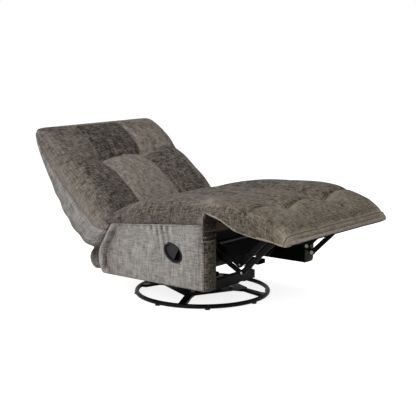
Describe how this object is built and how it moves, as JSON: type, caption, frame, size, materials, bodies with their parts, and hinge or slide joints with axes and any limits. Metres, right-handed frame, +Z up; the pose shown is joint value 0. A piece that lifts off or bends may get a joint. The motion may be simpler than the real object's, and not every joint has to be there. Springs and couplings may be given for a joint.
{
  "type": "swivel recliner",
  "caption": "Upholstered swivel rocking recliner on a ring base, with a laid-down tufted back, a folding chaise footrest on links and a side release handle.",
  "frame": {"origin": "on the floor under the middle of the opened chair; the swivel axis stands 30 mm behind it", "axes": "+X to the sitter's left, +Y to the rear, +Z up"},
  "size_m": [0.91, 1.5739, 0.8337],
  "materials": {
    "chenille": "brown-grey woven chenille, patchy",
    "grey_weave": "silver-grey woven cloth",
    "black_metal": "black satin powder coat",
    "zinc": "dark zinc plated",
    "black_plastic": "fine-grained black",
    "wood": "plain sawn, unfinished",
    "webbing": "woven elastic strap"
  },
  "bodies": {
    "base": {"base_ring": "black_metal", "base_glides": "black_plastic", "base_spokes": "black_metal", "hub_plate": "black_metal", "hub_bolts": "zinc", "swivel_lower_race": "zinc", "swivel_balls": "zinc", "king_bolt": "zinc", "king_nut": "zinc"},
    "swivel": {"swivel_upper_race": "zinc", "rocker_plate": "black_metal", "rocker_beams": "black_metal", "spring_seats_lower": "black_metal", "rocker_springs": "black_metal"},
    "chair": {"spring_seats_upper": "black_metal", "base_rail_left": "black_metal", "base_rail_right": "black_metal", "cross_rail_front": "black_metal", "cross_rail_rear": "black_metal", "side_plate_left": "black_metal", "side_plate_right": "black_metal", "pivot_studs": "zinc", "seat_rail_front": "wood", "seat_rail_rear": "wood", "seat_rail_left": "wood", "seat_rail_right": "wood", "seat_webbing": "webbing", "mechanism_bolts": "zinc", "seat_cushion": "chenille", "side_pad_left": "grey_weave", "side_pad_right": "grey_weave", "side_board_left": "wood", "side_board_right": "wood", "rear_bottom_rail": "wood", "rear_flap": "grey_weave", "handle_cup": "black_plastic", "paddle_pin": "zinc", "release_cable": "black_plastic", "cable_anchor": "black_metal"},
    "back": {"back_cushion": "chenille", "back_cover": "grey_weave", "back_post_left": "wood", "back_post_right": "wood", "back_rails": "wood", "back_brackets": "black_metal", "back_bolts": "zinc"},
    "footrest": {"footrest_cushion": "chenille", "footrest_board": "wood", "footrest_brackets": "black_metal", "footrest_screws": "zinc", "footrest_pins": "zinc"},
    "drive_lower": {"drive_links": "black_metal", "drive_elbow_rivets": "zinc"},
    "drive_upper": {"drive_upper_links": "black_metal"},
    "guide_lower": {"guide_links": "black_metal", "guide_elbow_rivets": "zinc", "torque_tube": "black_metal"},
    "guide_upper": {"guide_upper_links": "black_metal"},
    "paddle": {"handle_paddle": "black_plastic"}
  },
  "joints": [
    {"name": "swivel_turn", "type": "hinge", "parent": "base", "child": "swivel", "pos_m": [0, 0.03, 0], "axis": [0, 0, 1], "continuous": true},
    {"name": "rock", "type": "hinge", "parent": "swivel", "child": "chair", "pos_m": [0, 0.03, 0.1285], "axis": [1, 0, 0], "range_deg": [-6, 6], "stiffness_Nm_per_rad": 1400, "deforming": ["rocker_springs"]},
    {"name": "back_recline", "type": "hinge", "parent": "chair", "child": "back", "pos_m": [0, 0.275, 0.425], "axis": [1, 0, 0], "range_deg": [0, 36], "deforming": ["rear_flap"]},
    {"name": "footrest_fold", "type": "hinge", "parent": "chair", "child": "footrest", "pos_m": [0, -0.44, 0.49], "axis": [1, 0, 0], "range_deg": [0, 90]},
    {"name": "drive_lower_turn", "type": "hinge", "parent": "chair", "child": "drive_lower", "pos_m": [0, -0.26, 0.32], "axis": [1, 0, 0], "range_deg": [0, 90]},
    {"name": "drive_upper_turn", "type": "hinge", "parent": "drive_lower", "child": "drive_upper", "pos_m": [0, -0.445, 0.226], "axis": [1, 0, 0], "range_deg": [-90, 0]},
    {"name": "guide_lower_turn", "type": "hinge", "parent": "chair", "child": "guide_lower", "pos_m": [0, -0.285, 0.344], "axis": [1, 0, 0], "range_deg": [0, 90]},
    {"name": "guide_upper_turn", "type": "hinge", "parent": "guide_lower", "child": "guide_upper", "pos_m": [0, -0.423, 0.258], "axis": [1, 0, 0], "range_deg": [-90, 0]},
    {"name": "paddle_pull", "type": "hinge", "parent": "chair", "child": "paddle", "pos_m": [-0.44, -0.13214, 0.32625], "axis": [0, 0.454, -0.891], "range_deg": [0, 25], "stiffness_Nm_per_rad": 0.6}
  ],
  "couplings": [
    {"joint": "drive_lower_turn", "follows": "footrest_fold", "ratio": 1},
    {"joint": "drive_upper_turn", "follows": "footrest_fold", "ratio": -1},
    {"joint": "guide_lower_turn", "follows": "footrest_fold", "ratio": 1},
    {"joint": "guide_upper_turn", "follows": "footrest_fold", "ratio": -1}
  ]
}
